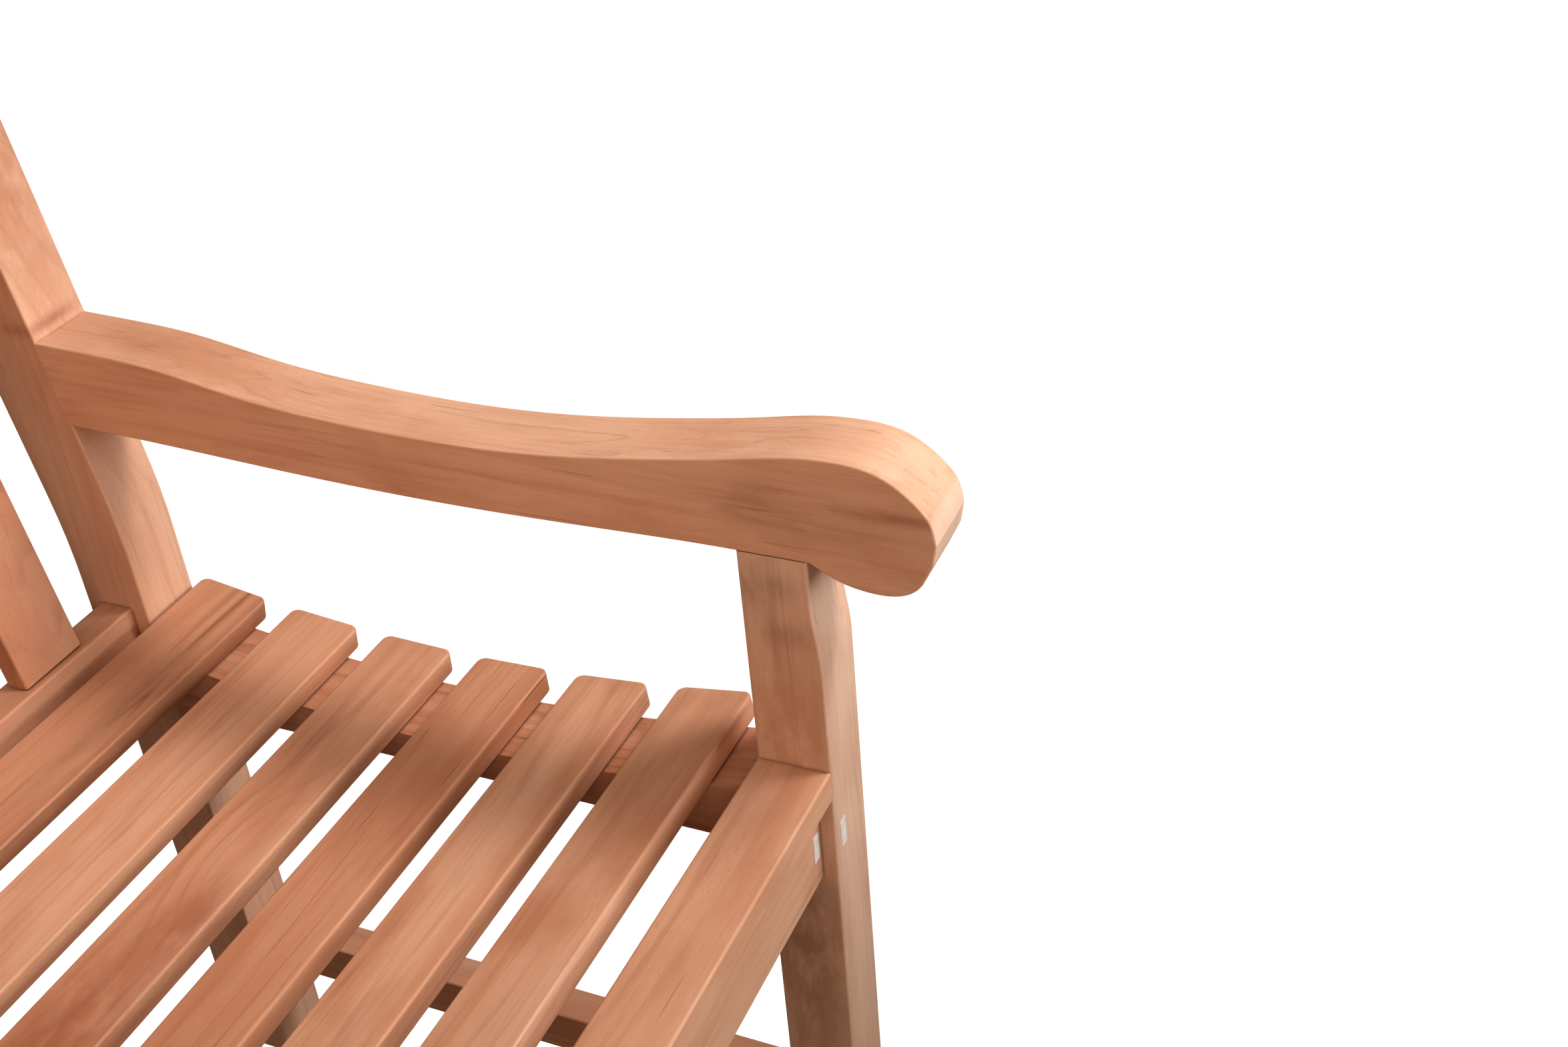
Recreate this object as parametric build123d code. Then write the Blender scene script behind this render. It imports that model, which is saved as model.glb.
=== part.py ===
"""Garden bench, two seats, in solid hardwood with scrolled arms.

Frame: +X along the bench, +Y from the front edge to the back, +Z up. The floor is Z = 0.
While it is drawn, Y = 0 is the front face of the front legs; every piece is then moved so
that the origin is the centre of the bench's footprint box on the floor. Millimetres.
"""
import os
from math import atan2, degrees, hypot

from build123d import *

# ---------------------------------------------------------------- driving dimensions
BENCH_LENGTH = 1200.0        # over the ends of the seat slats
BENCH_HEIGHT = 900.0         # floor to the top of the rear legs
SEAT_HEIGHT = 430.0          # floor to the top of the front slat
SLAT_OVERHANG = 10.0         # seat slats beyond the outer faces of the legs
LEG = 46.0                   # section of the legs, and width of the arms

SCOOP_DEPTH = 4.2            # hollow in the front face of the front leg, under the arm

FRONT_SLAT_DEPTH = 46.5
FRONT_SLAT_THICK = 21.0
SLAT_WIDTH = 52.0
SLAT_THICK = 16.0
SLAT_COUNT = 6               # seat slats behind the front one
FIRST_SLAT_Y = 71.0          # front edge of the first of them

REAR_LEG_Y = 496.0           # front face of the rear legs below the bend
REAR_LEG_DEPTH = 50.0
RAKE = 0.149                 # how far the back leans per unit of height
BEND_FRONT_Z = 508.0         # where the leg's straight faces would meet, front and back
BEND_BACK_Z = 487.0
BEND_RADIUS = 420.0

FRONT_RAIL_BOTTOM_Z = 345.0
SIDE_RAIL_BOTTOM_Z = 350.0
FRONT_RAIL_SETBACK = 10.0
FRONT_RAIL_THICK = 21.0
SIDE_RAIL_INSET = 13.5       # side rail's inner face outward of the leg's inner face
SIDE_RAIL_THICK = 27.0

DISH_LOW_Y = 283.0           # lowest point of the dished seat
DISH_LOW_Z = 395.0           # top of the bearers there
DISH_RADIUS = 1180.0
BEARER_BOTTOM_Z = 373.0
BEARER_STEP_Y = 50.0         # ahead of this the bearers are flat, under the front slat
END_BEARER_WIDTH = 27.0
MID_BEARER_WIDTH = 27.0

REAR_RAIL_Y = 508.0
REAR_RAIL_THICK = 26.0
REAR_RAIL_TOP_Z = 438.0
REAR_RAIL_HEIGHT = 68.0

BACK_SLAT_COUNT = 11
BACK_SLAT_WIDTH = 51.0
BACK_SLAT_THICK = 16.5
BACK_SLAT_Y = 513.0          # front face of the back slats where they stand on the rail

CREST_THICK = 26.0
CREST_END_HEIGHT = 72.0      # height of the crest rail at its ends, and its rise in the middle
CREST_RISE = 20.0
CREST_DROP = 24.0            # crest rail's end below the top of the leg

STRETCHER_TOP_Z = 130.0
STRETCHER_HEIGHT = 36.0
STRETCHER_THICK = 27.0

TENON_THICK = 12.0
TENON_LENGTH = 26.0
SIDE_TENON_LENGTH = 16.0     # short, to miss the tenons of the long rails
STUB_LENGTH = 8.0

EDGE_ROUND = 1.8             # sanded edges
ARM_EDGE_ROUND = 1.2
LEG_EDGE_ROUND = 1.5
CORNER_ROUND = 6.0           # corners of the slat ends, seen from above

BOLT_SHANK = 3.0             # radii of the M6 frame bolts, their heads and washers
BOLT_HEAD = 5.5
BOLT_HEAD_HIGH = 3.5
WASHER = 8.0
WASHER_THICK = 1.5
BARREL = 5.0                 # radius of the barrel nuts
SCREW_SHANK = 2.0
SCREW_HEAD = 4.0
SCREW_HEAD_HIGH = 3.0
SCREW_LENGTH = 30.0
SCREW_BITE = 10.0            # how far a screw runs into the slat above the bearer

LABEL_WIDTH = 7.0            # paper marks that pair a leg with its rail
LABEL_HEIGHT = 20.0
LABEL_THICK = 0.3
LABEL_Z = SEAT_HEIGHT - 45.0 # top edge of the marks

# ---------------------------------------------------------------- derived positions
END_X = BENCH_LENGTH / 2
LEG_OUT_X = END_X - SLAT_OVERHANG
LEG_IN_X = LEG_OUT_X - LEG
SLAT_PITCH = (REAR_LEG_Y - 0.5 - SLAT_WIDTH - FIRST_SLAT_Y) / (SLAT_COUNT - 1)
RAIL_TOP_Z = SEAT_HEIGHT - FRONT_SLAT_THICK
FRONT_RAIL_BACK_Y = FRONT_RAIL_SETBACK + FRONT_RAIL_THICK
REAR_LEG_BACK_Y = REAR_LEG_Y + REAR_LEG_DEPTH
LEG_TOP_BACK_Y = REAR_LEG_BACK_Y + RAKE * (BENCH_HEIGHT - BEND_BACK_Z)
SIDE_RAIL_X = LEG_IN_X + SIDE_RAIL_INSET
STRETCHER_X = LEG_IN_X + (LEG - STRETCHER_THICK) / 2

# Arm, seen from the side: (Y, Z above the seat) points of its top and its underside, front to back.
ARM_BOTTOM_Z = SEAT_HEIGHT + 147.0
ARM_TOP = [(-8.0, 213.5), (40.0, 206.5), (101.0, 196.0), (165.0, 188.0), (236.0, 185.0),
           (300.0, 187.0), (369.0, 193.5), (432.0, 204.0), (474.0, 207.0), (530.0, 209.0)]
ARM_UNDERSIDE = [(LEG, 147.0), (140.0, 144.6), (240.0, 142.6), (358.0, 145.2), (452.0, 149.2),
                 (540.0, 151.0)]
SCROLL_FRONT_Y = -70.0
SCROLL_FACETS = [(SCROLL_FRONT_Y, 172.0), (-67.8, 159.5), (-61.5, 146.0)]   # flats across the scroll's front
SCROLL_BOTTOM_Z = 134.5


def rear_leg_front(z):
    """Y of the rear leg's front face at height z, above the bend."""
    return REAR_LEG_Y + RAKE * (z - BEND_FRONT_Z)


def dish(y):
    """Height of the bearers' dished top at depth y."""
    return DISH_LOW_Z + DISH_RADIUS - (DISH_RADIUS**2 - (y - DISH_LOW_Y) ** 2) ** 0.5


def board(x0, x1, y0, y1, z0, z1):
    """A plain board between two corners."""
    box = Box(x1 - x0, y1 - y0, z1 - z0)
    return Pos((x0 + x1) / 2, (y0 + y1) / 2, (z0 + z1) / 2) * box


def side_profile(edges, x0, x1):
    """A closed outline in the Y-Z plane, drawn out from x0 to x1."""
    face = make_face(edges)
    solid = extrude(Plane.YZ * face, amount=x1 - x0)
    return Pos(x0, 0, 0) * solid


def rod(start, direction, radius, length):
    """A round rod from start along direction."""
    plane = Plane(origin=start, z_dir=direction)
    return plane * Cylinder(radius, length, align=(Align.CENTER, Align.CENTER, Align.MIN))


def other_side(piece):
    """The same piece at the other end of the bench."""
    return mirror(piece, about=Plane.YZ)


def eased(solid, radius, along=None):
    """The solid with its edges rounded: all of them, or those along one axis."""
    edges = solid.edges().filter_by(along) if along else solid.edges()
    return fillet(edges, radius)


# ---------------------------------------------------------------- legs
def front_leg():
    """Front leg, with a shallow scoop under the arm and a stub tenon on top."""
    scoop = SCOOP_DEPTH
    low_z = SEAT_HEIGHT + 72
    outline = Polyline((scoop, ARM_BOTTOM_Z), (LEG, ARM_BOTTOM_Z), (LEG, 0), (0, 0), (0, low_z))
    hollow = Spline(
        (0, low_z),
        (0.7 * scoop, SEAT_HEIGHT + 103),
        (scoop, ARM_BOTTOM_Z),
        tangents=[(0, 1), (0, 1)],
    )
    leg = side_profile(outline + hollow, LEG_IN_X, LEG_OUT_X)
    upright = leg.edges().filter_by(lambda e: e.length > 60)
    leg = fillet(upright, LEG_EDGE_ROUND)
    x0, x1 = LEG_IN_X + 12, LEG_OUT_X - 12
    tenon = board(x0, x1, 14, LEG - 10, ARM_BOTTOM_Z - 1, ARM_BOTTOM_Z + TENON_LENGTH)
    return leg + tenon


def rear_leg():
    """Rear leg: upright to the seat, then raked back with an eased bend."""
    top_front = (rear_leg_front(BENCH_HEIGHT), BENCH_HEIGHT)
    top_back = (LEG_TOP_BACK_Y, BENCH_HEIGHT)
    corners = [
        (REAR_LEG_Y, 0),
        (REAR_LEG_Y, BEND_FRONT_Z),
        top_front,
        top_back,
        (REAR_LEG_BACK_Y, BEND_BACK_Z),
        (REAR_LEG_BACK_Y, 0),
    ]
    face = make_face(Polyline(*corners, close=True))
    bends = [v for v in face.vertices() if BEND_BACK_Z - 1 < v.Y < BEND_FRONT_Z + 1]
    face = fillet(bends, BEND_RADIUS)
    tips = [v for v in face.vertices() if v.Y > BENCH_HEIGHT - 1]
    face = fillet(tips, 12)
    leg = Pos(LEG_IN_X, 0, 0) * extrude(Plane.YZ * face, amount=LEG)
    rims = leg.edges().filter_by(lambda e: abs(e.bounding_box().size.X) < 0.01 and e.center().Z > 1)
    return fillet(rims, LEG_EDGE_ROUND)


# ---------------------------------------------------------------- arms
def armrest():
    """Arm with a dipped top and a scroll that rolls over the front leg."""
    top = Spline(*[(y, SEAT_HEIGHT + z) for y, z in ARM_TOP], tangents=[(1, -0.02), (1, 0.04)])
    crown_y, crown_z = ARM_TOP[0][0], SEAT_HEIGHT + ARM_TOP[0][1]
    facets = [(y, SEAT_HEIGHT + z) for y, z in SCROLL_FACETS]
    nose = Spline(
        (crown_y, crown_z),
        (-44.0, SEAT_HEIGHT + 207.5),
        (-62.8, SEAT_HEIGHT + 192.0),
        facets[0],
        tangents=[(-1, 0.02), (-0.1, -1)],
    )
    chin = Spline(
        facets[-1],
        (-32.0, SEAT_HEIGHT + SCROLL_BOTTOM_Z),
        (-12.0, SEAT_HEIGHT + 139.0),
        (3.0, ARM_BOTTOM_Z),
        tangents=[(0.6, -1), (0.9, 0.45)],
    )
    over_leg = Polyline((3.0, ARM_BOTTOM_Z), (LEG, ARM_BOTTOM_Z))
    belly = Spline(*[(y, SEAT_HEIGHT + z) for y, z in ARM_UNDERSIDE], tangents=[(1, 0), (1, 0.01)])
    end_y, end_z = ARM_TOP[-1][0], SEAT_HEIGHT + ARM_TOP[-1][1]
    back = Polyline((ARM_UNDERSIDE[-1][0], SEAT_HEIGHT + ARM_UNDERSIDE[-1][1]), (end_y, end_z))
    arm = side_profile(top + nose + Polyline(*facets) + chin + over_leg + belly + back, LEG_IN_X, LEG_OUT_X)
    rims = arm.edges().filter_by(lambda e: abs(e.bounding_box().size.X) < 0.01 and e.center().Y < end_y - 2)
    arm = fillet(rims, ARM_EDGE_ROUND)
    return arm


def arm_with_joints(arm, front, rear):
    """The arm cut to the raked leg, with a tenon into it and a mortise for the front leg."""
    mid_z = ARM_BOTTOM_Z + 34
    leg_y = rear_leg_front(mid_z)
    tenon = board(LEG_IN_X + 14, LEG_OUT_X - 14, leg_y - 10, leg_y + 20, mid_z - 14, mid_z + 14)
    return (arm - rear - front) + tenon


# ---------------------------------------------------------------- seat frame
def dished_board(x0, x1, y0, y1, z0):
    """A board on edge whose top follows the dish of the seat, flat under the front slat."""
    start = max(y0, BEARER_STEP_Y)
    middle = (start + y1) / 2
    outline = ThreePointArc((start, dish(start)), (middle, dish(middle)), (y1, dish(y1)))
    outline += Polyline(
        (y1, dish(y1)),
        (y1, z0),
        (y0, z0),
        (y0, RAIL_TOP_Z),
        (start, RAIL_TOP_Z),
        (start, dish(start)),
    )
    return side_profile(outline, x0, x1)


def side_rail():
    """Side rail between the legs, with a tenon at each end."""
    x0, x1 = SIDE_RAIL_X, SIDE_RAIL_X + SIDE_RAIL_THICK
    rail = dished_board(x0, x1, LEG, REAR_LEG_Y, SIDE_RAIL_BOTTOM_Z)
    tx0 = (x0 + x1 - TENON_THICK) / 2
    z0, z1 = SIDE_RAIL_BOTTOM_Z + 8, RAIL_TOP_Z - 14
    front = board(tx0, tx0 + TENON_THICK, LEG - SIDE_TENON_LENGTH, LEG + 1, z0, z1)
    rear = board(tx0, tx0 + TENON_THICK, REAR_LEG_Y - 1, REAR_LEG_Y + SIDE_TENON_LENGTH, z0, z1)
    return rail + front + rear


def end_bearer():
    """Bearer fixed to the side rail, notched round both legs."""
    x0 = SIDE_RAIL_X - END_BEARER_WIDTH
    wide = dished_board(x0, SIDE_RAIL_X, LEG, REAR_LEG_Y, BEARER_BOTTOM_Z)
    narrow = dished_board(x0, LEG_IN_X, FRONT_RAIL_BACK_Y, REAR_RAIL_Y, BEARER_BOTTOM_Z)
    return wide + narrow


def mid_bearer():
    """Bearer at the middle of the seat, with a stub tenon in the front and the rear rail."""
    x0, x1 = -MID_BEARER_WIDTH / 2, MID_BEARER_WIDTH / 2
    bearer = dished_board(x0, x1, FRONT_RAIL_BACK_Y, REAR_RAIL_Y, BEARER_BOTTOM_Z)
    z0, z1 = BEARER_BOTTOM_Z + 6, RAIL_TOP_Z - 8
    front = board(x0 + 6, x1 - 6, FRONT_RAIL_BACK_Y - STUB_LENGTH, FRONT_RAIL_BACK_Y + 1, z0, z1)
    rear = board(x0 + 6, x1 - 6, REAR_RAIL_Y - 1, REAR_RAIL_Y + STUB_LENGTH, z0, z1)
    return bearer + front + rear


def cross_rail(y0, thick, z0, z1):
    """A long rail between the two side frames, with a stub tenon at each end."""
    rail = eased(board(-LEG_IN_X, LEG_IN_X, y0, y0 + thick, z0, z1), EDGE_ROUND, Axis.X)
    ty = y0 + (thick - TENON_THICK) / 2
    reach = LEG_IN_X + TENON_LENGTH
    return rail + board(-reach, reach, ty, ty + TENON_THICK, z0 + 11, z1 - 13)


# ---------------------------------------------------------------- seat slats
def front_slat():
    """Thick front slat between the front legs."""
    slat = board(-LEG_IN_X, LEG_IN_X, 0, FRONT_SLAT_DEPTH, RAIL_TOP_Z, SEAT_HEIGHT)
    return eased(slat, EDGE_ROUND, Axis.X)


def seat_slat(index):
    """One seat slat, lying on the dish, with rounded ends."""
    y0 = FIRST_SLAT_Y + index * SLAT_PITCH
    y1 = y0 + SLAT_WIDTH
    tilt = degrees(atan2(dish(y1) - dish(y0), y1 - y0))
    slat = Box(BENCH_LENGTH, SLAT_WIDTH, SLAT_THICK, align=(Align.CENTER, Align.CENTER, Align.MIN))
    slat = eased(slat, CORNER_ROUND, Axis.Z)
    rims = slat.edges().filter_by(lambda e: abs(e.bounding_box().size.Z) < 0.01)
    slat = fillet(rims, EDGE_ROUND)
    middle = (y0 + y1) / 2
    return Pos(0, middle, (dish(y0) + dish(y1)) / 2) * Rot(tilt, 0, 0) * slat


# ---------------------------------------------------------------- back
LEAN = -degrees(atan2(RAKE, 1))
FOOT = Pos(0, BACK_SLAT_Y + BACK_SLAT_THICK / 2, REAR_RAIL_TOP_Z)


def in_back(piece):
    """Moves a piece drawn upright about the back's foot line into the raked back."""
    return FOOT * Rot(LEAN, 0, 0) * piece


CREST_TOP = (BENCH_HEIGHT - CREST_DROP - REAR_RAIL_TOP_Z) * hypot(1, RAKE)
CREST_BOTTOM = CREST_TOP - CREST_END_HEIGHT


def crest_rail():
    """Top rail of the back, gently arched, with a tenon at each end."""
    ends = LEG_IN_X
    arch = ThreePointArc((-ends, CREST_TOP), (0, CREST_TOP + CREST_RISE), (ends, CREST_TOP))
    outline = arch + Polyline(
        (ends, CREST_TOP), (ends, CREST_BOTTOM), (-ends, CREST_BOTTOM), (-ends, CREST_TOP)
    )
    rail = extrude(Plane.XZ * make_face(outline), amount=CREST_THICK / 2, both=True)
    rims = rail.edges().filter_by(lambda e: e.length > ends)
    rail = fillet(rims, 4.0)
    reach = LEG_IN_X + TENON_LENGTH
    half = TENON_THICK / 2
    tenon = board(-reach, reach, -half, half, CREST_BOTTOM + 12, CREST_TOP - 16)
    return in_back(rail + tenon)


def back_slat(x):
    """Upright slat from the rear rail to the crest rail, with a stub tenon at each end."""
    half, thick = BACK_SLAT_WIDTH / 2, BACK_SLAT_THICK / 2
    slat = eased(board(x - half, x + half, -thick, thick, 0, CREST_BOTTOM), EDGE_ROUND, Axis.Z)
    stub = board(x - half + 8, x + half - 8, -4, 4, -12, CREST_BOTTOM + 12)
    return in_back(slat + stub)


# ---------------------------------------------------------------- fasteners
def bolt(head, direction, length):
    """Domed bolt: its head's underside is at head, and it runs along direction."""
    away = tuple(-c for c in direction)
    cap = rod(head, away, BOLT_HEAD, BOLT_HEAD_HIGH)
    rim = cap.edges().filter_by(GeomType.CIRCLE).sort_by(lambda e: e.center().X * away[0])[-1]
    cap = fillet(rim, BOLT_HEAD_HIGH * 0.7)
    tip = tuple(h + a * BOLT_HEAD_HIGH for h, a in zip(head, away))
    plane = Plane(origin=tip, z_dir=direction)
    socket = plane * extrude(RegularPolygon(BOLT_HEAD * 0.45, 6), amount=BOLT_HEAD_HIGH * 0.6)
    return cap + rod(head, direction, BOLT_SHANK, length) - socket


def washer(face, direction):
    """Washer lying on face, whose outward normal is direction, with the shank's hole."""
    ring = rod(face, direction, WASHER, WASHER_THICK)
    return ring - rod(face, direction, BOLT_SHANK + 0.3, WASHER_THICK)


def screw(x, y):
    """Countersunk screw driven up through a bearer into the slat above it."""
    z = dish(y) + SCREW_BITE - SCREW_LENGTH
    head = Pos(x, y, z + SCREW_HEAD_HIGH / 2) * Cone(SCREW_HEAD, SCREW_SHANK, SCREW_HEAD_HIGH)
    return head + rod((x, y, z + 1), (0, 0, 1), SCREW_SHANK, SCREW_LENGTH - 1)


def screw_bore(x, y):
    """Hole from the bearer's underside up to the screw's head."""
    depth = dish(y) + SCREW_BITE - SCREW_LENGTH - BEARER_BOTTOM_Z
    return rod((x, y, BEARER_BOTTOM_Z), (0, 0, 1), SCREW_HEAD + 0.4, depth)


def leg_bolt_sites():
    """(Y, Z) on the outer face of the legs where a bolt draws each long rail tight."""
    crest_z = (CREST_TOP + CREST_BOTTOM) / 2 - 2
    crest = in_back(Pos(0, 0, crest_z) * Vertex(0, 0, 0)).center()
    return [
        (FRONT_RAIL_SETBACK + FRONT_RAIL_THICK / 2, 377.0),
        (REAR_RAIL_Y + REAR_RAIL_THICK / 2, 404.0),
        (crest.Y, crest.Z),
    ]


SIDE_BOLT_SITES = [(120.0, 380.0), (420.0, 380.0)]   # (Y, Z) on the side rail's outer face
LEG_BOLT_LENGTH = LEG + 40.0
SIDE_BOLT_LENGTH = SIDE_RAIL_THICK + END_BEARER_WIDTH - 8.0
COUNTERBORE = 6.0


def label(x, y):
    """Blank paper mark on a front face, that pairs the leg with its rail for assembly."""
    half = LABEL_WIDTH / 2
    return board(x - half, x + half, y - LABEL_THICK, y, LABEL_Z - LABEL_HEIGHT, LABEL_Z)


def build():
    """Every piece by name, in drawing position."""
    legs = {"front_leg_right": front_leg(), "rear_leg_right": rear_leg()}
    arm = arm_with_joints(armrest(), legs["front_leg_right"], legs["rear_leg_right"])
    rail, bearer = side_rail(), end_bearer()
    stretch_z = STRETCHER_TOP_Z - STRETCHER_HEIGHT
    stretcher = eased(
        board(STRETCHER_X, STRETCHER_X + STRETCHER_THICK, LEG, REAR_LEG_Y, stretch_z, STRETCHER_TOP_Z),
        LEG_EDGE_ROUND,
        Axis.Y,
    )
    tx = STRETCHER_X + (STRETCHER_THICK - TENON_THICK) / 2
    reach = TENON_LENGTH - 2
    stretcher += board(
        tx, tx + TENON_THICK, LEG - reach, REAR_LEG_Y + reach, stretch_z + 7, STRETCHER_TOP_Z - 7
    )

    front_rail = cross_rail(FRONT_RAIL_SETBACK, FRONT_RAIL_THICK, FRONT_RAIL_BOTTOM_Z, RAIL_TOP_Z)
    rear_bottom = REAR_RAIL_TOP_Z - REAR_RAIL_HEIGHT
    rear_rail = cross_rail(REAR_RAIL_Y, REAR_RAIL_THICK, rear_bottom, REAR_RAIL_TOP_Z)
    crest = crest_rail()

    middle = mid_bearer()
    slats = {f"seat_slat_{i + 1}": seat_slat(i) for i in range(SLAT_COUNT)}
    gap = (2 * LEG_IN_X - BACK_SLAT_COUNT * BACK_SLAT_WIDTH) / (BACK_SLAT_COUNT + 1)
    backs = {}
    for i in range(BACK_SLAT_COUNT):
        x = -LEG_IN_X + gap * (i + 1) + BACK_SLAT_WIDTH * (i + 0.5)
        backs[f"back_slat_{i + 1:02d}"] = back_slat(x)

    # Screws up through the bearers, and the holes they leave.
    rows = [FIRST_SLAT_Y + i * SLAT_PITCH + SLAT_WIDTH / 2 for i in range(SLAT_COUNT)]
    end_x = SIDE_RAIL_X - END_BEARER_WIDTH / 2
    screws = [screw(x, y) for x in (-end_x, 0, end_x) for y in rows]
    bores = Compound([screw_bore(x, y) for x in (0, end_x) for y in rows])
    all_screws = Compound(screws)
    middle = middle - all_screws - bores
    bearer = bearer - all_screws - bores
    for i, name in enumerate(slats):
        row = [s for s in screws if abs(s.center().Y - rows[i]) < 1]
        slats[name] -= Compound(row)

    # Bolts with washers and barrel nuts at the right-hand end.
    bolts, washers, nuts, recesses = [], [], [], []
    inward = (-1, 0, 0)
    for y, z in leg_bolt_sites():
        seat = LEG_OUT_X - COUNTERBORE
        washers.append(washer((seat, y, z), (1, 0, 0)))
        bolts.append(bolt((seat + WASHER_THICK, y, z), inward, LEG_BOLT_LENGTH))
        nuts.append((seat + WASHER_THICK - LEG_BOLT_LENGTH + 8, y, z))
        recesses.append(rod((LEG_OUT_X, y, z), inward, WASHER + 0.5, COUNTERBORE))
    for y, z in SIDE_BOLT_SITES:
        face = SIDE_RAIL_X + SIDE_RAIL_THICK
        washers.append(washer((face, y, z), (1, 0, 0)))
        bolts.append(bolt((face + WASHER_THICK, y, z), inward, SIDE_BOLT_LENGTH))
    nut = Cylinder(BARREL, REAR_RAIL_THICK * 0.6, rotation=(90, 0, 0))
    barrels = [Pos(x, y, z) * nut for x, y, z in nuts]
    bolt_set = Compound(bolts)
    barrel_set = Compound([b - bolt_set for b in barrels])

    def drilled(piece, both=False):
        """The piece with the bolt holes cut at the right-hand end, or at both ends."""
        cutters = [bolt_set, Compound(recesses), Compound(barrels)]
        for cutter in cutters:
            piece = piece - cutter
            if both:
                piece = piece - other_side(cutter)
        return piece

    # Mortises: what enters a leg or a rail is cut out of it.
    front_leg_cut = legs["front_leg_right"] - front_rail - rail - stretcher
    rear_leg_cut = legs["rear_leg_right"] - rear_rail - rail - stretcher - crest - arm
    front_rail -= middle
    rear_rail -= middle
    for piece in backs.values():
        rear_rail -= piece
        crest -= piece

    right = {
        "front_leg": drilled(front_leg_cut),
        "rear_leg": drilled(rear_leg_cut),
        "armrest": arm,
        "side_rail": drilled(rail),
        "side_stretcher": stretcher,
        "end_bearer": drilled(bearer),
    }
    pieces = {}
    for name, piece in right.items():
        pieces[f"{name}_right"] = piece
        pieces[f"{name}_left"] = other_side(piece)
    pieces["front_rail"] = drilled(front_rail, both=True)
    pieces["rear_rail"] = drilled(rear_rail, both=True)
    pieces["crest_rail"] = drilled(crest, both=True)
    pieces["front_slat"] = front_slat()
    pieces["mid_bearer"] = middle
    pieces.update(slats)
    pieces.update(backs)
    pieces["slat_screws"] = all_screws
    hardware = {"frame_bolts": bolt_set, "bolt_washers": Compound(washers), "barrel_nuts": barrel_set}
    for name, group in hardware.items():
        pieces[name] = Compound(list(group.solids()) + list(other_side(group).solids()))

    pieces["leg_label"] = label(LEG_IN_X + 11.4, 0)
    pieces["rail_label"] = label(LEG_IN_X - 7, FRONT_RAIL_SETBACK)
    return pieces


os.makedirs("parts", exist_ok=True)
pieces = build()
whole = Compound([s for piece in pieces.values() for s in piece.solids()])
extent = whole.bounding_box()
centre_y = (extent.min.Y + extent.max.Y) / 2
for name, piece in pieces.items():
    solids = [Pos(0, -centre_y, 0) * s for s in piece.solids()]
    export_step(solids[0] if len(solids) == 1 else Compound(solids), f"parts/{name}.step")
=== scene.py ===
"""Looks for the garden bench: unfinished teak, plain steel fasteners, blank paper labels, a white studio."""
from collections import namedtuple
from math import cos, e, pi, radians, sin
from random import Random

import bpy
from mathutils import Matrix, Vector


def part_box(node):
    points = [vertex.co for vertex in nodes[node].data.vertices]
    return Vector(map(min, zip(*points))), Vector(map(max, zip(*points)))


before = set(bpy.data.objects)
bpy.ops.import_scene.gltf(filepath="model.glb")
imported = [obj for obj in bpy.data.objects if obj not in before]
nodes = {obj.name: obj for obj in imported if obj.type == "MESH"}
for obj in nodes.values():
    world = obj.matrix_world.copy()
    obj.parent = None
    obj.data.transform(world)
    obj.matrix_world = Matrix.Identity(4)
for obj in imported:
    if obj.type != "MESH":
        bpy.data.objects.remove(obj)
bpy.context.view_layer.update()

scene = bpy.context.scene

# ---------------------------------------------------------------- colours


def linear(r, g, b):
    """The linear colour of an 8-bit sRGB one."""
    return tuple((v / 255 / 12.92) if v < 10 else ((v / 255 + 0.055) / 1.055) ** 2.4 for v in (r, g, b))


PALE = linear(229, 179, 145)
SALMON = linear(214, 153, 116)
RED = linear(184, 117, 80)
RUST = linear(160, 92, 58)
BROWN = linear(146, 90, 60)
VEIN = linear(130, 80, 54)
OLIVE = linear(128, 96, 66)
GLUE = linear(120, 52, 36)
# The colour of the painted shade in inner corners and joints.
CORNER_SHADE = linear(88, 52, 38)
PORE = linear(84, 48, 32)
CREAM = linear(242, 214, 190)
STEEL_DARK = (0.5, 0.49, 0.47)
STEEL_LIGHT = (0.68, 0.67, 0.65)
PAPER_CLEAN = linear(238, 232, 230)
PAPER_SOILED = linear(205, 192, 184)
FLOOR_GREY = (0.8, 0.8, 0.8)
FLOOR_GLOW = (1.0, 1.0, 1.0)
SKY_LOW = linear(120, 84, 62)
SKY_HIGH = linear(255, 232, 212)

# ---------------------------------------------------------------- fields and ramps
# A noise field: cycles in a metre on each axis, where the first axis of a board runs along its grain.
Field = namedtuple("Field", "cycles detail rough distortion", defaults=(2.0, 0.5, 0.0))
FIELDS = {
    "band": Field((2.2, 34, 34), 2.0, 0.5, 0.4),
    "blotch": Field((7.0, 16, 16), 3.0, 0.55, 0.3),
    "streak": Field((5.0, 120, 120), 3.0, 0.55),
    "fibre": Field((34, 1100, 1100), 3.0, 0.65),
    "pore": Field((120, 1300, 1300), 1.0),
    "pore_zone": Field((7.0, 45, 45), 1.0),
    "check": Field((9, 420, 420), 1.0, 0.4),
    "vein": Field((1.6, 50, 50), 2.0, 0.4),
    "vein_zone": Field((8.0, 30, 30)),
    "ring_bend": Field((3.0, 14, 14)),
    "ring_zone": Field((5.0, 26, 26)),
    "mark": Field((40, 90, 90), 3.0, 0.6),
    "nap": Field((150, 620, 620), 3.0, 0.65, 0.6),
    "turning": Field((200, 2600, 2600), 3.0),
    "soil": Field((180, 180, 180), 3.0),
    "pulp": Field((2200, 2200, 2200)),
}

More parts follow.
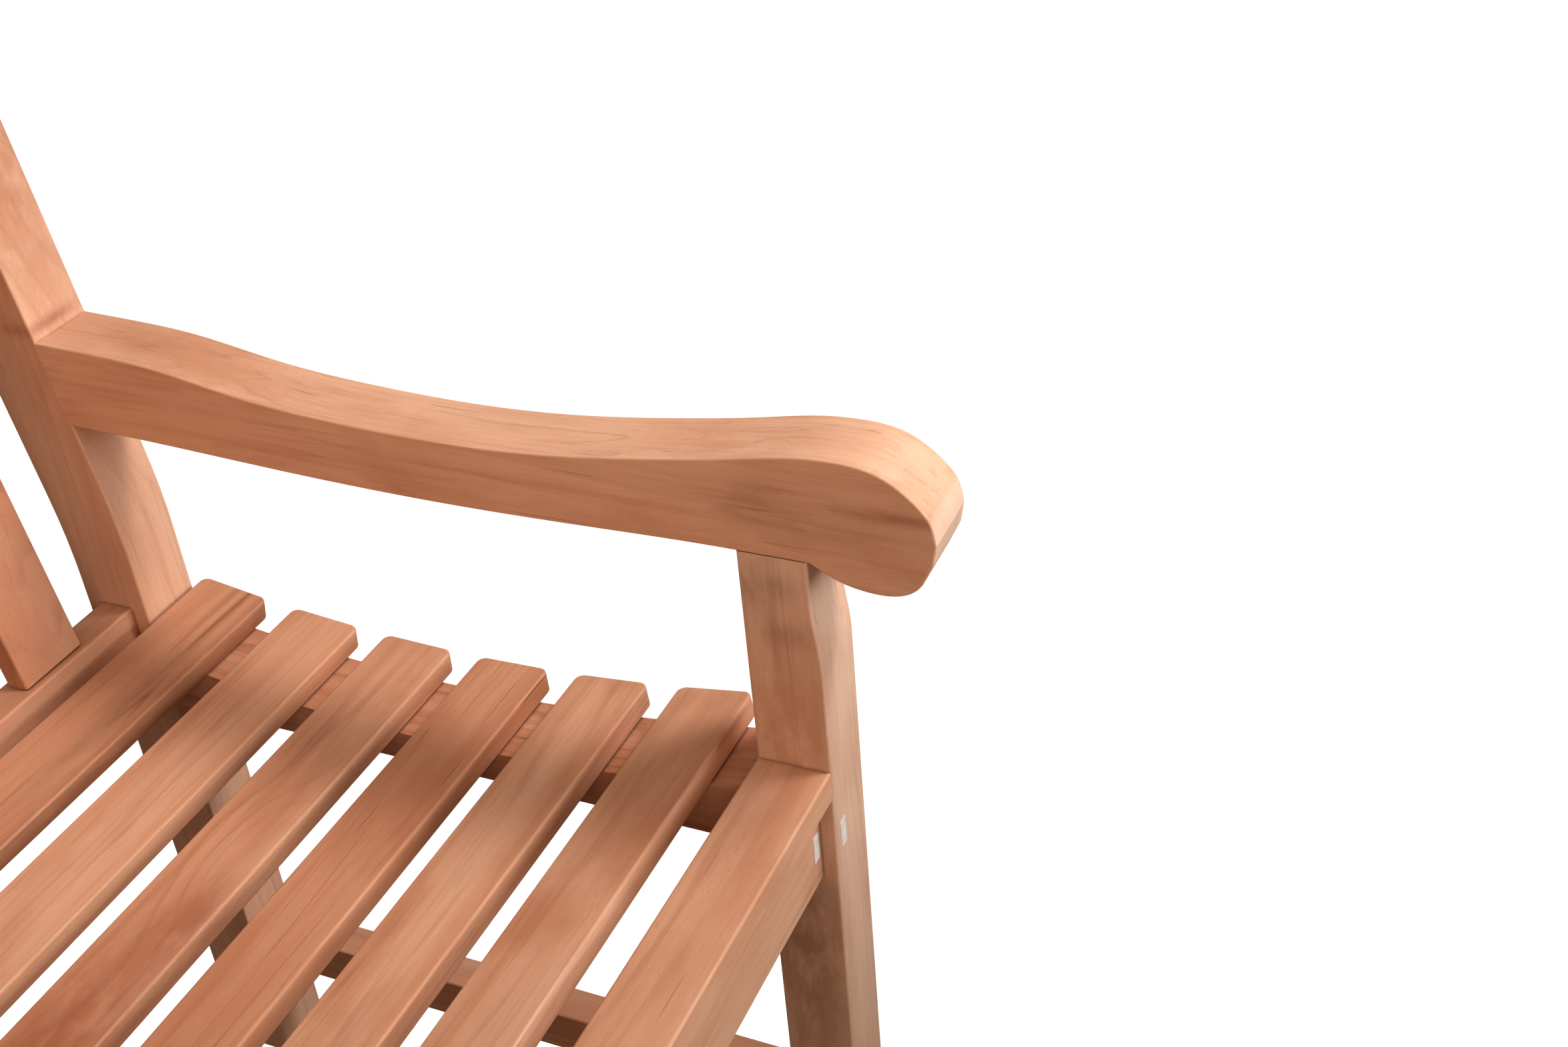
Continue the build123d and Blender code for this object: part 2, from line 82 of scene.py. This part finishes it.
# A ramp: pairs of what goes in, from 0 to 1, and what comes out.
RAMPS = {
    "bands": [(0.33, 0.0), (0.67, 1.0)],
    "blotches": [(0.42, 0.0), (0.72, 1.0)],
    "streaks": [(0.48, 0.0), (0.72, 1.0)],
    "fibres": [(0.38, 0.0), (0.7, 1.0)],
    "pores": [(0.68, 0.0), (0.78, 1.0)],
    "pore_zones": [(0.5, 0.0), (0.7, 1.0)],
    "checks": [(0.735, 0.0), (0.775, 1.0)],
    "vein_lines": [(0.0, 1.0), (0.014, 0.0)],
    "vein_zones": [(0.42, 0.0), (0.6, 1.0)],
    "rings": [(0.0, 0.0), (0.6, 0.15), (0.88, 1.0), (1.0, 0.0)],
    "ring_zones": [(0.38, 0.2), (0.62, 1.0)],
    "olive_bands": [(0.52, 0.0), (0.66, 1.0)],
    "olive_streaks": [(0.56, 0.0), (0.66, 1.0)],
    "marks": [(0.3, 0.5), (0.55, 1.0)],
    "end_grain": [(0.86, 0.0), (0.95, 1.0)],
    # The next two make the paler edges, partly sanded wear and partly a painted highlight.
    "edges": [(0.86, 1.0), (0.99, 0.0)],
    "edge_wear_and_highlight": [(0.3, 0.0), (0.6, 0.15)],
    # Painted shade in inner corners and joints, read from ambient occlusion.
    "painted_corner_shade": [(0.4, 0.75), (0.74, 0.0)],
    "teak_rough": [(0.2, 0.48), (0.8, 0.64)],
    "steel_rough": [(0.3, 0.24), (0.7, 0.42)],
    "paper_soil": [(0.4, 0.0), (0.75, 0.5)],
    "paper_rough": [(0.2, 0.6), (0.8, 0.75)],
    "sky": [(0.3, SKY_LOW), (0.7, SKY_HIGH)],
}
EASED_RAMPS = {"bands", "blotches", "streaks", "rings"}

# ---------------------------------------------------------------- node helpers


class Tree:
    """Short calls for building a node tree."""

    def __init__(self, tree):
        self.tree = tree
        tree.nodes.clear()

    def add(self, kind, settings=None, **inputs):
        """A node of that kind, with its properties set and its inputs given or linked."""
        node = self.tree.nodes.new(kind)
        for key, value in (settings or {}).items():
            setattr(node, key, value)
        for key, value in inputs.items():
            self.feed(node, key, value)
        return node

    def feed(self, node, key, value):
        """Sets an input, or links it to a socket. The input goes by its name, or by i and its number."""
        by_number = key[0] == "i" and key[1:].isdigit()
        socket = node.inputs[int(key[1:]) if by_number else key]
        if isinstance(value, bpy.types.NodeSocket):
            self.tree.links.new(value, socket)
        else:
            socket.default_value = value

    def math(self, operation, a, b=0.0, c=0.0):
        return self.add("ShaderNodeMath", {"operation": operation}, i0=a, i1=b, i2=c).outputs[0]

    def vector(self, operation, a, b=(0.0, 0.0, 0.0), result="Vector"):
        return self.add("ShaderNodeVectorMath", {"operation": operation}, i0=a, i1=b).outputs[result]

    def stretch(self, vector, scale):
        return self.add("ShaderNodeMapping", Vector=vector, Scale=scale).outputs[0]

    def turn(self, vector, angles):
        return self.add("ShaderNodeMapping", Vector=vector, Rotation=angles).outputs[0]

    def field(self, vector, name):
        """One of the noise fields, from 0 to 1."""
        cycles, detail, rough, distortion = FIELDS[name]
        node = self.add(
            "ShaderNodeTexNoise",
            Vector=self.stretch(vector, cycles),
            Scale=1.0,
            Detail=detail,
            Roughness=rough,
            Distortion=distortion,
        )
        return node.outputs["Fac"]

    def read(self, value, name):
        """A value put through one of the ramps."""
        node = self.add("ShaderNodeValToRGB", Fac=value)
        node.color_ramp.interpolation = "EASE" if name in EASED_RAMPS else "LINEAR"
        elements = node.color_ramp.elements
        stops = RAMPS[name]
        while len(elements) < len(stops):
            elements.new(0.5)
        for element, (place, result) in zip(elements, stops):
            element.position = place
            element.color = (result, result, result, 1) if isinstance(result, float) else (*result, 1)
        return node.outputs[0]

    def toward(self, body, colour, amount):
        """The body's colour moved toward another one."""
        node = self.add("ShaderNodeMix", {"data_type": "RGBA"})
        self.feed(node, "i0", amount)
        self.feed(node, "i6", body)
        self.feed(node, "i7", (*colour, 1))
        return node.outputs[2]

    def bump(self, height, strength, depth):
        return self.add("ShaderNodeBump", Strength=strength, Distance=depth, Height=height).outputs[0]

    def output(self, shader, kind="ShaderNodeOutputMaterial"):
        self.feed(self.add(kind), "Surface", shader.outputs[0])


def new_material(name):
    """An empty material and the tree to build it with."""
    material = bpy.data.materials.new(name)
    material.use_nodes = True
    return material, Tree(material.node_tree)


# ---------------------------------------------------------------- teak
TURN = {"X": (0, 0, 0), "Y": (0, 0, -pi / 2), "Z": (0, pi / 2, 0)}
TURN_MATRIX = {
    "X": Matrix.Identity(3),
    "Y": Matrix.Rotation(-pi / 2, 3, "Z"),
    "Z": Matrix.Rotation(pi / 2, 3, "Y"),
}
BOARD_SHIFT = 3.0          # metres that the noise may be moved by, so that no two boards are alike
PITH_NEAR = 0.07           # metres from a board's middle to its pith line, at the least and at the most
PITH_FAR = 0.16
PITH_DRIFT = 0.06          # metres that the pith line may lean in a metre
RING_BEND = 3.6            # rings that the bend field moves the lines by
FIELD_MIDDLE = 0.5
EDGE_RADIUS = 0.0022       # metres that the paler edge, sanded wear and painted highlight, reaches from an edge
EDGE_SAMPLES = 4
CORNER_SHADE_REACH = 0.0035       # metres that the painted shade reaches out of a corner
CORNER_SHADE_SAMPLES = 6
FIBRE_HEIGHT = 0.3         # parts of the relief, against each other
STREAK_HEIGHT = 0.2
PORE_DEPTH = 0.7
CHECK_DEPTH = 1.2
NAP_HEIGHT = 2.4
TEAK_BUMP, TEAK_BUMP_DEPTH = 0.4, 0.0004
TEAK_SPECULAR = 0.42

# A board's look: tone is how far it leans to red-brown, bleach how far to cream, ring_count how many rings
# lie in a metre, end the colour and strength of the end grain. The rest are strengths from 0 to 1.
PLAIN = dict(
    tone=0.1, bleach=0.0, bands=0.7, blotches=0.5, rings=0.22, ring_count=110.0, streaks=0.3, fibres=0.16,
    pores=0.3, checks=0.25, veins=0.2, olive=0.0, end=(BROWN, 0.3), swirls=(), marks=(), nap=None,
)
# Spots on a board: reach is how far each spreads on each axis, in metres, and push how many rings it bends.
Mark = namedtuple("Mark", "colour place reach strength")
Swirl = namedtuple("Swirl", "place reach push")
Nap = namedtuple("Nap", "place reach")


def middle_of(name, grain, lean):
    """The middle of a node in the board's own axes, where the first runs along the grain."""
    low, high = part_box(name)
    middle = Matrix.Rotation(lean, 3, "X") @ ((low + high) / 2)
    return TURN_MATRIX[grain] @ middle


def spot_at(t, position, place, reach):
    """1 at a place, falling smoothly to 0 over its reach on each axis."""
    offset = t.stretch(t.vector("SUBTRACT", position, place), tuple(1 / r for r in reach))
    length = t.vector("LENGTH", offset, result="Value")
    return t.math("POWER", e, t.math("MULTIPLY", t.math("MULTIPLY", length, length), -1.0))


def growth_rings(t, rng, along, board, middle, look, position):
    """Dark late wood on shells round a pith line outside the board, bent slowly along the grain."""
    angle = rng.uniform(0, 2 * pi)
    far = rng.uniform(PITH_NEAR, PITH_FAR)
    drift = rng.uniform(-PITH_DRIFT, PITH_DRIFT)
    axes = t.add("ShaderNodeSeparateXYZ", Vector=along).outputs
    y = t.math("ADD", axes[1], far * cos(angle) - middle[1])
    y = t.math("MULTIPLY_ADD", axes[0], drift, y)
    z = t.math("ADD", axes[2], far * sin(angle) - middle[2])
    radius = t.math("SQRT", t.math("ADD", t.math("MULTIPLY", y, y), t.math("MULTIPLY", z, z)))
    bend = t.math("MULTIPLY", t.field(board, "ring_bend"), RING_BEND)
    rings = t.math("MULTIPLY_ADD", radius, look["ring_count"], bend)
    for swirl in look["swirls"]:
        rings = t.math("MULTIPLY_ADD", spot_at(t, position, swirl.place, swirl.reach), swirl.push, rings)
    zone = t.read(t.field(board, "ring_zone"), "ring_zones")
    return t.math("MULTIPLY", t.read(t.math("FRACT", rings), "rings"), zone)


def open_pores(t, board):
    """Short dark pores, gathered in zones."""
    pores = t.read(t.field(board, "pore"), "pores")
    return t.math("MULTIPLY", pores, t.read(t.field(board, "pore_zone"), "pore_zones"))


def thin_veins(t, board):
    """Thin wandering lines where the vein field crosses its middle, gathered in zones."""
    away = t.math("ABSOLUTE", t.math("SUBTRACT", t.field(board, "vein"), FIELD_MIDDLE))
    return t.math("MULTIPLY", t.read(away, "vein_lines"), t.read(t.field(board, "vein_zone"), "vein_zones"))


def worn_and_highlit_edges(t, streak):
    """Where the surface turns over an edge, broken up by the streaks: sanded wear and a painted highlight.
    """
    rounded = t.add("ShaderNodeBevel", {"samples": EDGE_SAMPLES}, Radius=EDGE_RADIUS).outputs[0]
    flat = t.add("ShaderNodeNewGeometry").outputs["Normal"]
    same = t.vector("DOT_PRODUCT", rounded, flat, result="Value")
    return t.math("MULTIPLY", t.read(same, "edges"), t.read(streak, "edge_wear_and_highlight"))


def teak(name, grain, seed, lean=0.0, **changes):
    """Sanded, unfinished teak. grain is the axis that the fibres follow, lean its tilt about X."""
    look = {**PLAIN, **changes}
    rng = Random(seed)
    material, t = new_material(name)
    coords = t.add("ShaderNodeTexCoord").outputs
    position = coords["Object"]
    upright = t.turn(position, (lean, 0, 0)) if lean else position
    along = t.turn(upright, TURN[grain])
    shift = tuple(rng.uniform(-BOARD_SHIFT, BOARD_SHIFT) for _ in range(3))
    board = t.vector("ADD", along, shift)

    def scaled(value, feature):
        """A field as strong as this board's look says."""
        return t.math("MULTIPLY", value, look[feature])

    # Soft bands, blotches, streaks, rings and fibres, all drawn out along the grain.
    band = t.field(board, "band")
    blotch = t.field(board, "blotch")
    streak = t.field(board, "streak")
    fibre = t.field(board, "fibre")
    rings = growth_rings(t, rng, along, board, middle_of(name, grain, lean), look, position)
    pores = scaled(open_pores(t, board), "pores")
    checks = scaled(t.read(t.field(board, "check"), "checks"), "checks")

    body = t.toward((*PALE, 1), SALMON, scaled(t.read(band, "bands"), "bands"))
    body = t.toward(body, RED, look["tone"])
    body = t.toward(body, CREAM, look["bleach"])
    body = t.toward(body, RED, scaled(t.read(blotch, "blotches"), "blotches"))
    body = t.toward(body, RED, scaled(t.read(streak, "streaks"), "streaks"))
    body = t.toward(body, BROWN, scaled(rings, "rings"))
    if look["olive"]:
        body = t.toward(body, OLIVE, scaled(t.read(band, "olive_bands"), "olive"))
        body = t.toward(body, BROWN, scaled(t.read(streak, "olive_streaks"), "olive"))
    body = t.toward(body, BROWN, scaled(t.read(fibre, "fibres"), "fibres"))
    for mark in look["marks"]:
        cloud = t.read(t.field(board, "mark"), "marks")
        spot = t.math("MULTIPLY", spot_at(t, position, mark.place, mark.reach), cloud)
        body = t.toward(body, mark.colour, t.math("MULTIPLY", spot, mark.strength))
    body = t.toward(body, VEIN, scaled(thin_veins(t, board), "veins"))
    body = t.toward(body, PORE, pores)
    body = t.toward(body, PORE, checks)

    # End grain has its own colour, the edges are paler (sanded wear and a painted highlight), and painted
    # shade darkens every inner corner and joint.
    end_colour, end_strength = look["end"]
    facing = t.add("ShaderNodeSeparateXYZ", Vector=coords["Normal"]).outputs["XYZ".index(grain)]
    end_grain = t.read(t.math("ABSOLUTE", facing), "end_grain")
    body = t.toward(body, end_colour, t.math("MULTIPLY", end_grain, end_strength))
    # Paler edges: partly sanded wear, partly a painted highlight along the rounded edges.
    body = t.toward(body, PALE, worn_and_highlit_edges(t, streak))
    # Painted shade: ambient occlusion darkens every inner corner, which also draws the dark joint lines.
    open_air = t.add("ShaderNodeAmbientOcclusion", {"samples": CORNER_SHADE_SAMPLES}, Distance=CORNER_SHADE_REACH)
    body = t.toward(body, CORNER_SHADE, t.read(open_air.outputs["AO"], "painted_corner_shade"))

    height = t.math("MULTIPLY_ADD", fibre, FIBRE_HEIGHT, t.math("MULTIPLY", streak, STREAK_HEIGHT))
    height = t.math("SUBTRACT", height, t.math("MULTIPLY", pores, PORE_DEPTH))
    height = t.math("SUBTRACT", height, t.math("MULTIPLY", checks, CHECK_DEPTH))
    nap = look["nap"]
    if nap:
        hairs = t.math("MULTIPLY", t.field(board, "nap"), spot_at(t, position, nap.place, nap.reach))
        height = t.math("MULTIPLY_ADD", hairs, NAP_HEIGHT, height)
    bump = t.bump(height, TEAK_BUMP, TEAK_BUMP_DEPTH)
    shader = t.add("ShaderNodeBsdfPrincipled", Roughness=t.read(fibre, "teak_rough"), Normal=bump)
    t.feed(shader, "Base Color", body)
    t.feed(shader, "Specular IOR Level", TEAK_SPECULAR)
    t.output(shader)
    return material


# ---------------------------------------------------------------- steel and paper
FINE_BUMP, FINE_BUMP_DEPTH = 0.2, 0.0001


def steel():
    """Plain stainless steel with turned marks."""
    material, t = new_material("steel")
    marks = t.field(t.add("ShaderNodeTexCoord").outputs["Object"], "turning")
    bump = t.bump(marks, FINE_BUMP, FINE_BUMP_DEPTH)
    rough = t.read(marks, "steel_rough")
    shader = t.add("ShaderNodeBsdfPrincipled", Metallic=1.0, Roughness=rough, Normal=bump)
    t.feed(shader, "Base Color", t.toward((*STEEL_DARK, 1), STEEL_LIGHT, marks))
    t.output(shader)
    return material


def paper():
    """Uncoated white paper, slightly soiled."""
    material, t = new_material("paper")
    place = t.add("ShaderNodeTexCoord").outputs["Object"]
    pulp = t.field(place, "pulp")
    soil = t.read(t.field(place, "soil"), "paper_soil")
    bump = t.bump(pulp, FINE_BUMP, FINE_BUMP_DEPTH)
    shader = t.add("ShaderNodeBsdfPrincipled", Roughness=t.read(pulp, "paper_rough"), Normal=bump)
    t.feed(shader, "Base Color", t.toward((*PAPER_CLEAN, 1), PAPER_SOILED, soil))
    t.output(shader)
    return material


# ---------------------------------------------------------------- each board
BACK_LEAN = -0.148         # radians about X that stand the back slats upright
FIRST_SEED = 40
TONE_LOW = 0.6             # a board's tone is its family's, times something between these two
TONE_HIGH = 1.5
CORNER = Vector((*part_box("front_leg_right")[0][:2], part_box("front_slat")[1][2]))


def near_leg(x, y, z):
    """A place given from the right-hand front leg's inner front corner, at the height of the seat."""
    return tuple(CORNER + Vector((x, y, z)))


# The pieces whose names start alike: their grain, their lean and their look.
FAMILIES = {
    "armrest": ("Y", 0.0, dict(
        tone=0.0, bleach=0.05, bands=0.4, blotches=0.4, rings=0.14, ring_count=170.0, checks=0.35,
        veins=0.25, end=(CREAM, 0.4),
    )),
    "front_leg": ("Z", 0.0, dict(tone=0.0, bleach=0.45, bands=0.25, blotches=0.3, rings=0.2, streaks=0.2)),
    "rear_leg": ("Z", 0.0, dict(
        tone=0.02, bleach=0.12, bands=0.45, blotches=0.25, rings=0.16, ring_count=150.0, streaks=0.15,
    )),
    "side_rail": ("Y", 0.0, dict(tone=0.35, rings=0.5, streaks=0.6)),
    "side_stretcher": ("Y", 0.0, dict(tone=0.2)),
    "end_bearer": ("Y", 0.0, dict(tone=0.35, rings=0.5, streaks=0.7, blotches=0.7, checks=0.7)),
    "mid_bearer": ("Y", 0.0, dict(tone=0.3, rings=0.4)),
    "front_rail": ("X", 0.0, dict(tone=0.05, rings=0.25)),
    "rear_rail": ("X", 0.0, dict(tone=0.3)),
    "crest_rail": ("X", 0.0, dict(tone=0.1, rings=0.25)),
    "front_slat": ("X", 0.0, dict(tone=0.05, pores=0.8, checks=0.4, rings=0.2)),
    "seat_slat": ("X", 0.0, dict(tone=0.15, blotches=0.65, streaks=0.45)),
    "back_slat": ("Z", BACK_LEAN, dict(tone=0.5, rings=0.3, ring_count=70.0)),
}
# What single boards have of their own: tones, a swirl round a knot, stains, a patch of painted shade under
# the seat, a rubbed patch of raised grain.
SPECIALS = {
    "seat_slat_1": dict(tone=0.06, pores=0.5),
    "seat_slat_2": dict(tone=0.04, streaks=0.35),
    "seat_slat_3": dict(tone=0.42, streaks=0.5, checks=0.9, veins=0.6),
    "seat_slat_4": dict(
        tone=0.32,
        rings=0.3,
        ring_count=80.0,
        swirls=[Swirl(near_leg(-0.155, 0.306, -0.016), (0.05, 0.022, 0.05), 3.2)],
        marks=[
            Mark(RUST, near_leg(-0.21, 0.308, -0.016), (0.035, 0.016, 0.05), 0.7),
            Mark(RUST, near_leg(-0.31, 0.318, -0.016), (0.09, 0.035, 0.05), 0.85),
            Mark(BROWN, near_leg(-0.2, 0.3, -0.016), (0.03, 0.006, 0.05), 0.4),
        ],
    ),
    "seat_slat_5": dict(tone=0.22, streaks=0.3, blotches=0.45),
    "seat_slat_6": dict(
        tone=0.6,
        olive=0.3,
        rings=0.25,
        veins=0.7,
        marks=[
            Mark(OLIVE, near_leg(-0.09, 0.457, -0.006), (0.08, 0.007, 0.05), 0.45),
            Mark(BROWN, near_leg(-0.1, 0.4435, -0.014), (0.3, 0.004, 0.012), 0.6),
        ],
    ),
    "front_leg_right": dict(
        marks=[
            Mark(OLIVE, near_leg(0.0, 0.02, 0.128), (0.006, 0.01, 0.01), 0.5),
            Mark(OLIVE, near_leg(0.0, 0.02, 0.095), (0.006, 0.016, 0.009), 0.45),
            Mark(OLIVE, near_leg(0.0, 0.04, 0.125), (0.01, 0.01, 0.02), 0.5),
            Mark(RED, near_leg(0.0, 0.026, 0.03), (0.008, 0.03, 0.06), 0.6),
            # Painted shade: a dark patch low on the leg's inner face, under the seat.
            Mark(BROWN, near_leg(0.0, 0.026, -0.15), (0.008, 0.03, 0.12), 0.7),
        ],
    ),
    "armrest_right": dict(
        nap=Nap(near_leg(0.023, 0.23, 0.188), (0.1, 0.09, 0.02)),
        marks=[
            Mark(OLIVE, near_leg(0.0, 0.035, 0.182), (0.01, 0.018, 0.014), 0.25),
            Mark(OLIVE, near_leg(0.0, 0.0, 0.17), (0.01, 0.03, 0.01), 0.3),
            Mark(BROWN, near_leg(0.0, -0.045, 0.185), (0.01, 0.035, 0.004), 0.6),
            Mark(RED, near_leg(0.023, 0.43, 0.206), (0.03, 0.07, 0.03), 0.5),
        ],
    ),
    "rear_leg_right": dict(
        marks=[
            Mark(GLUE, near_leg(0.018, 0.522, 0.216), (0.022, 0.03, 0.004), 0.8),
            Mark(RED, near_leg(0.023, 0.532, 0.32), (0.05, 0.024, 0.15), 0.85),
        ],
    ),
}
STEEL_NODES = ("slat_screws", "frame_bolts", "bolt_washers", "barrel_nuts")
PAPER_NODES = ("leg_label", "rail_label")


def give(names, material):
    """One material on the whole of each node."""
    for name in names:
        data = nodes[name].data
        data.materials.clear()
        data.materials.append(material)


for number, name in enumerate(sorted(nodes)):
    family = next((f for f in FAMILIES if name.startswith(f)), None)
    if family:
        grain, lean, look = FAMILIES[family]
        tone = look["tone"] * Random(name).uniform(TONE_LOW, TONE_HIGH)
        changes = {**look, "tone": tone, **SPECIALS.get(name, {})}
        give([name], teak(name, grain, FIRST_SEED + number, lean, **changes))

give(STEEL_NODES, steel())
give(PAPER_NODES, paper())

# ---------------------------------------------------------------- studio
FLOOR_FLAT = 9.0           # radius of the flat floor
FLOOR_RISE = 4.0           # radius of the curve that turns it up
FLOOR_TOP = 9.0            # height of the backdrop
FLAT_RINGS, RISE_RINGS, FLOOR_SIDES = 4, 16, 72
FLOOR_LIGHT = 0.85
FLOOR_ROUGH = 0.9


def stage_floor():
    """A pale floor that curves up into a backdrop far behind the bench."""
    profile = [(FLOOR_FLAT * k / FLAT_RINGS, 0.0) for k in range(1, FLAT_RINGS + 1)]
    for k in range(1, RISE_RINGS + 1):
        angle = pi / 2 * k / RISE_RINGS
        profile.append((FLOOR_FLAT + FLOOR_RISE * sin(angle), FLOOR_RISE - FLOOR_RISE * cos(angle)))
    profile.append((FLOOR_FLAT + FLOOR_RISE, FLOOR_TOP))

    corners = [(0, 0, 0)]
    for radius, height in profile:
        for k in range(FLOOR_SIDES):
            angle = 2 * pi * k / FLOOR_SIDES
            corners.append((radius * cos(angle), radius * sin(angle), height))
    faces = [(0, 1 + k, 1 + (k + 1) % FLOOR_SIDES) for k in range(FLOOR_SIDES)]
    for ring in range(len(profile) - 1):
        start = 1 + ring * FLOOR_SIDES
        for k in range(FLOOR_SIDES):
            here, beside = start + k, start + (k + 1) % FLOOR_SIDES
            faces.append((here, here + FLOOR_SIDES, beside + FLOOR_SIDES, beside))

    mesh = bpy.data.meshes.new("studio_floor")
    mesh.from_pydata(corners, [], faces)
    mesh.update()
    for polygon in mesh.polygons:
        polygon.use_smooth = True
    floor = bpy.data.objects.new("studio_floor", mesh)
    scene.collection.objects.link(floor)
    material, t = new_material("studio_floor")
    shader = t.add("ShaderNodeBsdfPrincipled", Roughness=FLOOR_ROUGH)
    t.feed(shader, "Base Color", (*FLOOR_GREY, 1))
    t.feed(shader, "Specular IOR Level", 0.0)
    t.feed(shader, "Emission Color", (*FLOOR_GLOW, 1))
    t.feed(shader, "Emission Strength", FLOOR_LIGHT)
    t.output(shader)
    mesh.materials.append(material)
    floor.visible_diffuse = False
    floor.visible_glossy = False
    floor.visible_shadow = False


def softbox(name, place, target, size, power, colour, beam):
    """A rectangular area light aimed at a target, whose light stays within a beam of so many degrees."""
    light = bpy.data.lights.new(name, "AREA")
    light.shape = "RECTANGLE"
    light.size, light.size_y = size
    light.energy = power
    light.color = colour
    light.spread = radians(beam)
    lamp = bpy.data.objects.new(name, light)
    lamp.location = place
    lamp.rotation_mode = "QUATERNION"
    lamp.rotation_quaternion = (Vector(target) - Vector(place)).to_track_quat("-Z", "Y")
    scene.collection.objects.link(lamp)


def dim_sky(strength):
    """Faint warm light from all round, darker below. The ramp takes the direction's height as 0 to 1."""
    world = bpy.data.worlds.new("studio")
    scene.world = world
    world.use_nodes = True
    t = Tree(world.node_tree)
    direction = t.add("ShaderNodeTexCoord").outputs["Generated"]
    up = t.add("ShaderNodeSeparateXYZ", Vector=direction).outputs[2]
    sky = t.read(t.math("MULTIPLY_ADD", up, 0.5, 0.5), "sky")
    t.output(t.add("ShaderNodeBackground", Color=sky, Strength=strength), "ShaderNodeOutputWorld")


stage_floor()
softbox(
    "key",
    place=near_leg(0.536, -0.732, 1.37),
    target=near_leg(0.066, 0.128, 0.3),
    size=(0.5, 0.5),
    power=1.75,
    colour=(1.0, 0.95, 0.95),
    beam=46,
)
softbox(
    "front",
    place=near_leg(0.256, -1.482, 0.57),
    target=near_leg(0.116, -0.032, 0.41),
    size=(1.2, 0.8),
    power=2.85,
    colour=(0.84, 0.94, 1.0),
    beam=46,
)
softbox(
    "left",
    place=near_leg(-1.644, -0.482, 0.82),
    target=near_leg(0.006, 0.148, 0.23),
    size=(1.1, 0.8),
    power=1.3,
    colour=(1.0, 0.78, 0.64),
    beam=55,
)
dim_sky(0.36)
scene.view_settings.view_transform = "Standard"

# ---------------------------------------------------------------- camera
# The camera stands before the middle of the seat and looks down at the right-hand end.
CAMERA_PLACE = near_leg(-0.7403, -0.3447, 0.7136)
CAMERA_HEADING = 64.07     # degrees from +Y towards +X
CAMERA_PITCH = -33.41
CAMERA_ROLL = -5.19
CAMERA_LENS = 42.76        # millimetres, on a sensor this wide
CAMERA_SENSOR = 36.0
CAMERA_NEAR, CAMERA_FAR = 0.02, 60.0

lens = bpy.data.cameras.new("camera")
lens.sensor_width = CAMERA_SENSOR
lens.lens = CAMERA_LENS
lens.clip_start = CAMERA_NEAR
lens.clip_end = CAMERA_FAR
camera = bpy.data.objects.new("camera", lens)
scene.collection.objects.link(camera)
heading, pitch = radians(CAMERA_HEADING), radians(CAMERA_PITCH)
forward = Vector((sin(heading) * cos(pitch), cos(heading) * cos(pitch), sin(pitch)))
turned = forward.to_track_quat("-Z", "Y").to_matrix() @ Matrix.Rotation(radians(CAMERA_ROLL), 3, "Z")
camera.location = CAMERA_PLACE
camera.rotation_mode = "QUATERNION"
camera.rotation_quaternion = turned.to_quaternion()
scene.camera = camera
